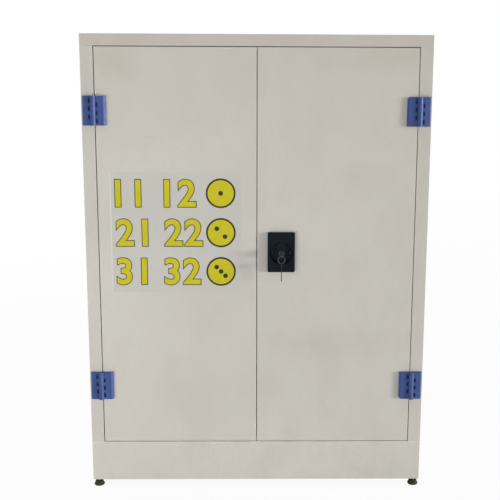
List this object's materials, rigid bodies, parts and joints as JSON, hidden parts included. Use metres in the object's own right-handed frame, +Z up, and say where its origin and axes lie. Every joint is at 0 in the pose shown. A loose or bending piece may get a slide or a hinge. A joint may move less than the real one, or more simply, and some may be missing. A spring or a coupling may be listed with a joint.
{
  "type": "reagent storage cabinet",
  "caption": "Upright double-door storage cabinet of welded plastic sheet with surface knuckle hinges, a recessed turning lock that drives rods, sliding spill trays and levelling feet.",
  "frame": {"origin": "middle of the area that the object covers, on the floor under its feet", "axes": "+Z up, front towards -Y, +X to the right as seen from the front"},
  "size_m": [0.9, 0.4984, 1.22],
  "materials": {
    "pp_sheet": "matt extruded polypropylene, off-white grey",
    "pp_door": "matt extruded polypropylene, off-white grey",
    "pp_tray": "matt welded polypropylene",
    "hinge_blue": "satin moulded blue polypropylene",
    "screw_steel": "plain stainless steel",
    "pin_plastic": "moulded blue plastic rod",
    "lock_black": "satin black moulded plastic",
    "lock_chrome": "bright plated, lightly handled",
    "key_steel": "nickel plated",
    "rod_steel": "drawn stainless steel",
    "foot_black": "dull black moulded foot"
  },
  "bodies": {
    "cabinet": {"back_panel": "pp_sheet", "bolt_keepers": "pp_sheet", "bottom_panel": "pp_sheet", "door_stop": "pp_sheet", "foot_sockets": "pp_sheet", "hinge_frame_covers": "hinge_blue", "hinge_frame_leaf_lower_left": "hinge_blue", "hinge_frame_leaf_lower_right": "hinge_blue", "hinge_frame_leaf_upper_left": "hinge_blue", "hinge_frame_leaf_upper_right": "hinge_blue", "hinge_frame_screws": "screw_steel", "hinge_pins": "pin_plastic", "plinth_front": "pp_sheet", "side_panel_left": "pp_sheet", "side_panel_right": "pp_sheet", "stile_left": "pp_sheet", "stile_right": "pp_sheet", "sump_front": "pp_sheet", "top_panel": "pp_sheet", "top_rail": "pp_sheet", "tray_ledges": "pp_sheet", "weld_beads": "pp_sheet"},
    "left_door": {"door_skin_left": "pp_door", "door_frame_left": "pp_sheet", "hinge_door_leaf_upper_left": "hinge_blue", "hinge_door_leaf_lower_left": "hinge_blue", "hinge_door_covers_left": "hinge_blue", "hinge_door_screws_left": "screw_steel", "bolt_housings": "pp_sheet"},
    "right_door": {"door_skin_right": "pp_door", "door_frame_right": "pp_sheet", "hinge_door_leaf_upper_right": "hinge_blue", "hinge_door_leaf_lower_right": "hinge_blue", "hinge_door_covers_right": "hinge_blue", "hinge_door_screws_right": "screw_steel", "lock_plate": "lock_black", "lock_case": "lock_black", "lock_case_screws": "screw_steel", "rod_guides": "pp_sheet"},
    "grip": {"turn_grip": "lock_black", "lock_cylinder": "lock_chrome", "spindle": "rod_steel", "pinion": "rod_steel"},
    "key_and_plug": {"key": "key_steel", "lock_plug": "lock_chrome"},
    "ring": {"key_ring": "key_steel"},
    "hanging_key": {"spare_key": "key_steel"},
    "rod_up": {"upper_rod": "rod_steel"},
    "rod_down": {"lower_rod": "rod_steel"},
    "bolt_up": {"slide_bolt_upper": "rod_steel"},
    "bolt_down": {"slide_bolt_lower": "rod_steel"},
    "tray_low": {"spill_tray_1": "pp_tray"},
    "tray_middle": {"spill_tray_2": "pp_tray"},
    "tray_high": {"spill_tray_3": "pp_tray"},
    "front_left_foot": {"foot_front_left": "foot_black"},
    "front_right_foot": {"foot_front_right": "foot_black"},
    "back_left_foot": {"foot_back_left": "foot_black"},
    "back_right_foot": {"foot_back_right": "foot_black"}
  },
  "joints": [
    {"name": "left_door_swing", "type": "hinge", "parent": "cabinet", "child": "left_door", "pos_m": [-0.419, -0.21025, 0.66], "axis": [0, 0, -1], "range_deg": [0, 180]},
    {"name": "right_door_swing", "type": "hinge", "parent": "cabinet", "child": "right_door", "pos_m": [0.419, -0.21025, 0.66], "axis": [0, 0, 1], "range_deg": [0, 180]},
    {"name": "grip_turn", "type": "hinge", "parent": "right_door", "child": "grip", "pos_m": [0.0645, -0.18675, 0.6575], "axis": [0, 1, 0], "range_deg": [0, 90]},
    {"name": "upper_rod_slide", "type": "slide", "parent": "right_door", "child": "rod_up", "axis": [0, 0, 1], "range_m": [0, 0.0158]},
    {"name": "lower_rod_slide", "type": "slide", "parent": "right_door", "child": "rod_down", "axis": [0, 0, -1], "range_m": [0, 0.0158]},
    {"name": "key_turn", "type": "hinge", "parent": "grip", "child": "key_and_plug", "pos_m": [0.0645, -0.23825, 0.6575], "axis": [0, -1, 0], "range_deg": [0, 90]},
    {"name": "ring_swing", "type": "hinge", "parent": "key_and_plug", "child": "ring", "pos_m": [0.0645, -0.23825, 0.6543], "axis": [-1, 0, 0], "range_deg": [-8, 80]},
    {"name": "hanging_key_swing", "type": "hinge", "parent": "ring", "child": "hanging_key", "pos_m": [0.0645, -0.23825, 0.6363], "axis": [-1, 0, 0], "range_deg": [-8, 60]},
    {"name": "upper_bolt_slide", "type": "slide", "parent": "left_door", "child": "bolt_up", "axis": [0, 0, 1], "range_m": [0, 0.015]},
    {"name": "lower_bolt_slide", "type": "slide", "parent": "left_door", "child": "bolt_down", "axis": [0, 0, -1], "range_m": [0, 0.015]},
    {"name": "low_tray_slide", "type": "slide", "parent": "cabinet", "child": "tray_low", "axis": [0, -1, 0], "range_m": [0, 0.06]},
    {"name": "middle_tray_slide", "type": "slide", "parent": "cabinet", "child": "tray_middle", "axis": [0, -1, 0], "range_m": [0, 0.06]},
    {"name": "high_tray_slide", "type": "slide", "parent": "cabinet", "child": "tray_high", "axis": [0, -1, 0], "range_m": [0, 0.06]},
    {"name": "front_left_foot_screw", "type": "slide", "parent": "cabinet", "child": "front_left_foot", "axis": [0, 0, 1], "range_m": [-0.015, 0.004]},
    {"name": "front_right_foot_screw", "type": "slide", "parent": "cabinet", "child": "front_right_foot", "axis": [0, 0, 1], "range_m": [-0.015, 0.004]},
    {"name": "back_left_foot_screw", "type": "slide", "parent": "cabinet", "child": "back_left_foot", "axis": [0, 0, 1], "range_m": [-0.015, 0.004]},
    {"name": "back_right_foot_screw", "type": "slide", "parent": "cabinet", "child": "back_right_foot", "axis": [0, 0, 1], "range_m": [-0.015, 0.004]}
  ],
  "couplings": [
    {"joint": "upper_rod_slide", "follows": "grip_turn", "m_per_rad": 0.01},
    {"joint": "lower_rod_slide", "follows": "grip_turn", "m_per_rad": 0.01}
  ]
}
